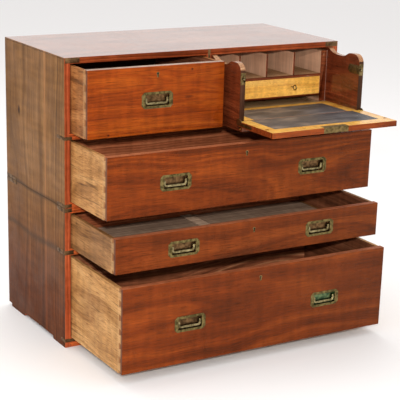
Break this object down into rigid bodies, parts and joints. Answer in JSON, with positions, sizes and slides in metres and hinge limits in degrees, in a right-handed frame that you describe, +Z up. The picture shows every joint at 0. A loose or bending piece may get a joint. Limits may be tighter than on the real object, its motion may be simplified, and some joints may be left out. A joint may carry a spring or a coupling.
{
  "type": "campaign chest",
  "caption": "Two-part mahogany campaign chest with flush brass handles and a secretaire drawer whose front lets down as a leather-lined writing fall.",
  "frame": {"origin": "centre of the footprint of the whole part at rest, drawers open, on the floor under the feet", "axes": "+X to the right across the drawer fronts, +Y towards the back of the case, +Z up"},
  "size_m": [1, 0.8138, 0.919],
  "materials": {
    "mahogany_front": "French polished mahogany, warm red-brown, worn to pale at the edges",
    "mahogany_case": "old polished mahogany, greyed brown on the case sides, glossy top",
    "mahogany_edge": "polished mahogany front edges, dull and dusty on the boards behind them",
    "drawer_lining": "bare tan secondary wood, dry and lightly soiled",
    "nest_wood": "thin light brown mahogany, waxed",
    "maple": "golden bird's-eye maple veneer, varnished",
    "leather": "worn black-grey skiver let in flush",
    "brass": "dull aged brass with greenish dirt in the corners"
  },
  "bodies": {
    "lower_case": {"lower_case_left_side": "mahogany_case", "lower_case_right_side": "mahogany_case", "lower_case_bottom_board": "mahogany_edge", "lower_case_dust_board": "mahogany_edge", "lower_case_top_board": "mahogany_edge", "lower_case_back_panel": "nest_wood"},
    "upper_case": {"upper_case_left_side": "mahogany_case", "upper_case_right_side": "mahogany_case", "upper_case_bottom_board": "mahogany_edge", "upper_case_dust_board": "mahogany_edge", "upper_case_divider": "mahogany_edge", "upper_case_top_board": "mahogany_case", "upper_case_back_panel": "nest_wood"},
    "deep_drawer_bail_left": {"deep_drawer_handle_bail_left": "brass"},
    "deep_drawer_bail_right": {"deep_drawer_handle_bail_right": "brass"},
    "deep_drawer": {"deep_drawer_left_side": "drawer_lining", "deep_drawer_right_side": "drawer_lining", "deep_drawer_back_and_bottom": "drawer_lining", "deep_drawer_front": "mahogany_front", "deep_drawer_handle_plate_left": "brass", "deep_drawer_handle_plate_right": "brass"},
    "shallow_drawer_bail_left": {"shallow_drawer_handle_bail_left": "brass"},
    "shallow_drawer_bail_right": {"shallow_drawer_handle_bail_right": "brass"},
    "shallow_drawer": {"shallow_drawer_left_side": "drawer_lining", "shallow_drawer_right_side": "drawer_lining", "shallow_drawer_back_and_bottom": "drawer_lining", "shallow_drawer_front": "mahogany_front", "shallow_drawer_handle_plate_left": "brass", "shallow_drawer_handle_plate_right": "brass"},
    "middle_drawer_bail_left": {"middle_drawer_handle_bail_left": "brass"},
    "middle_drawer_bail_right": {"middle_drawer_handle_bail_right": "brass"},
    "middle_drawer": {"middle_drawer_left_side": "drawer_lining", "middle_drawer_right_side": "drawer_lining", "middle_drawer_back_and_bottom": "drawer_lining", "middle_drawer_front": "mahogany_front", "middle_drawer_handle_plate_left": "brass", "middle_drawer_handle_plate_right": "brass"},
    "short_drawer_bail": {"short_drawer_handle_bail": "brass"},
    "short_drawer": {"short_drawer_left_side": "drawer_lining", "short_drawer_right_side": "drawer_lining", "short_drawer_back_and_bottom": "drawer_lining", "short_drawer_front": "mahogany_front", "short_drawer_handle_plate": "brass"},
    "writing_drawer": {"writing_drawer_left_side": "mahogany_front", "writing_drawer_right_side": "mahogany_front", "fall_hinge_left": "brass", "fall_hinge_right": "brass", "writing_bed": "maple", "bed_leather": "leather", "pigeonhole_nest": "nest_wood"},
    "fall": {"writing_fall": "mahogany_front", "fall_leather": "leather", "fall_lock": "brass", "fall_handle_plate": "brass"},
    "fall_bail": {"fall_handle_bail": "brass"},
    "maple_drawer": {"maple_drawer_front": "maple", "maple_drawer_box": "drawer_lining"},
    "key": {"key": "brass"},
    "catch_left": {"fall_catch_left": "brass"},
    "catch_right": {"fall_catch_right": "brass"}
  },
  "joints": [
    {"name": "upper_case_lift", "type": "slide", "parent": "lower_case", "child": "upper_case", "axis": [0, 0, 1], "range_m": [0, 0.06]},
    {"name": "deep_drawer_slide", "type": "slide", "parent": "lower_case", "child": "deep_drawer", "axis": [0, -1, 0], "range_m": [-0.345, 0.025]},
    {"name": "deep_drawer_bail_left_swing", "type": "hinge", "parent": "deep_drawer", "child": "deep_drawer_bail_left", "pos_m": [-0.24816, -0.3875, 0.164], "axis": [-1, 0, 0], "range_deg": [0, 90]},
    {"name": "deep_drawer_bail_right_swing", "type": "hinge", "parent": "deep_drawer", "child": "deep_drawer_bail_right", "pos_m": [0.24816, -0.3875, 0.164], "axis": [-1, 0, 0], "range_deg": [0, 90]},
    {"name": "shallow_drawer_slide", "type": "slide", "parent": "lower_case", "child": "shallow_drawer", "axis": [0, -1, 0], "range_m": [-0.297, 0.073]},
    {"name": "shallow_drawer_bail_left_swing", "type": "hinge", "parent": "shallow_drawer", "child": "shallow_drawer_bail_left", "pos_m": [-0.24816, -0.3395, 0.386], "axis": [-1, 0, 0], "range_deg": [0, 90]},
    {"name": "shallow_drawer_bail_right_swing", "type": "hinge", "parent": "shallow_drawer", "child": "shallow_drawer_bail_right", "pos_m": [0.24816, -0.3395, 0.386], "axis": [-1, 0, 0], "range_deg": [0, 90]},
    {"name": "middle_drawer_slide", "type": "slide", "parent": "upper_case", "child": "middle_drawer", "axis": [0, -1, 0], "range_m": [-0.24, 0.13]},
    {"name": "middle_drawer_bail_left_swing", "type": "hinge", "parent": "middle_drawer", "child": "middle_drawer_bail_left", "pos_m": [-0.24816, -0.2825, 0.5755], "axis": [-1, 0, 0], "range_deg": [0, 90]},
    {"name": "middle_drawer_bail_right_swing", "type": "hinge", "parent": "middle_drawer", "child": "middle_drawer_bail_right", "pos_m": [0.24816, -0.2825, 0.5755], "axis": [-1, 0, 0], "range_deg": [0, 90]},
    {"name": "short_drawer_slide", "type": "slide", "parent": "upper_case", "child": "short_drawer", "axis": [0, -1, 0], "range_m": [-0.11, 0.26]},
    {"name": "short_drawer_bail_swing", "type": "hinge", "parent": "short_drawer", "child": "short_drawer_bail", "pos_m": [-0.244, -0.1525, 0.799], "axis": [-1, 0, 0], "range_deg": [0, 90]},
    {"name": "writing_drawer_slide", "type": "slide", "parent": "upper_case", "child": "writing_drawer", "axis": [0, -1, 0], "range_m": [-0.192, 0.05]},
    {"name": "fall_hinge", "type": "hinge", "parent": "writing_drawer", "child": "fall", "pos_m": [0.244, -0.2251, 0.717], "axis": [-1, 0, 0], "range_deg": [0, 90]},
    {"name": "fall_bail_swing", "type": "hinge", "parent": "fall", "child": "fall_bail", "pos_m": [0.244, -0.3071, 0.7076], "axis": [1, 0, 0], "range_deg": [0, 90]},
    {"name": "maple_drawer_slide", "type": "slide", "parent": "writing_drawer", "child": "maple_drawer", "axis": [0, -1, 0], "range_m": [0, 0.12]},
    {"name": "key_turn", "type": "hinge", "parent": "maple_drawer", "child": "key", "pos_m": [0.32356, -0.0451, 0.7773], "axis": [0, -1, 0], "range_deg": [0, 180]},
    {"name": "catch_left_slide", "type": "slide", "parent": "writing_drawer", "child": "catch_left", "axis": [1, 0, 0], "range_m": [0, 0.003], "stiffness_N_per_m": 800},
    {"name": "catch_right_slide", "type": "slide", "parent": "writing_drawer", "child": "catch_right", "axis": [-1, 0, 0], "range_m": [0, 0.003], "stiffness_N_per_m": 800}
  ]
}
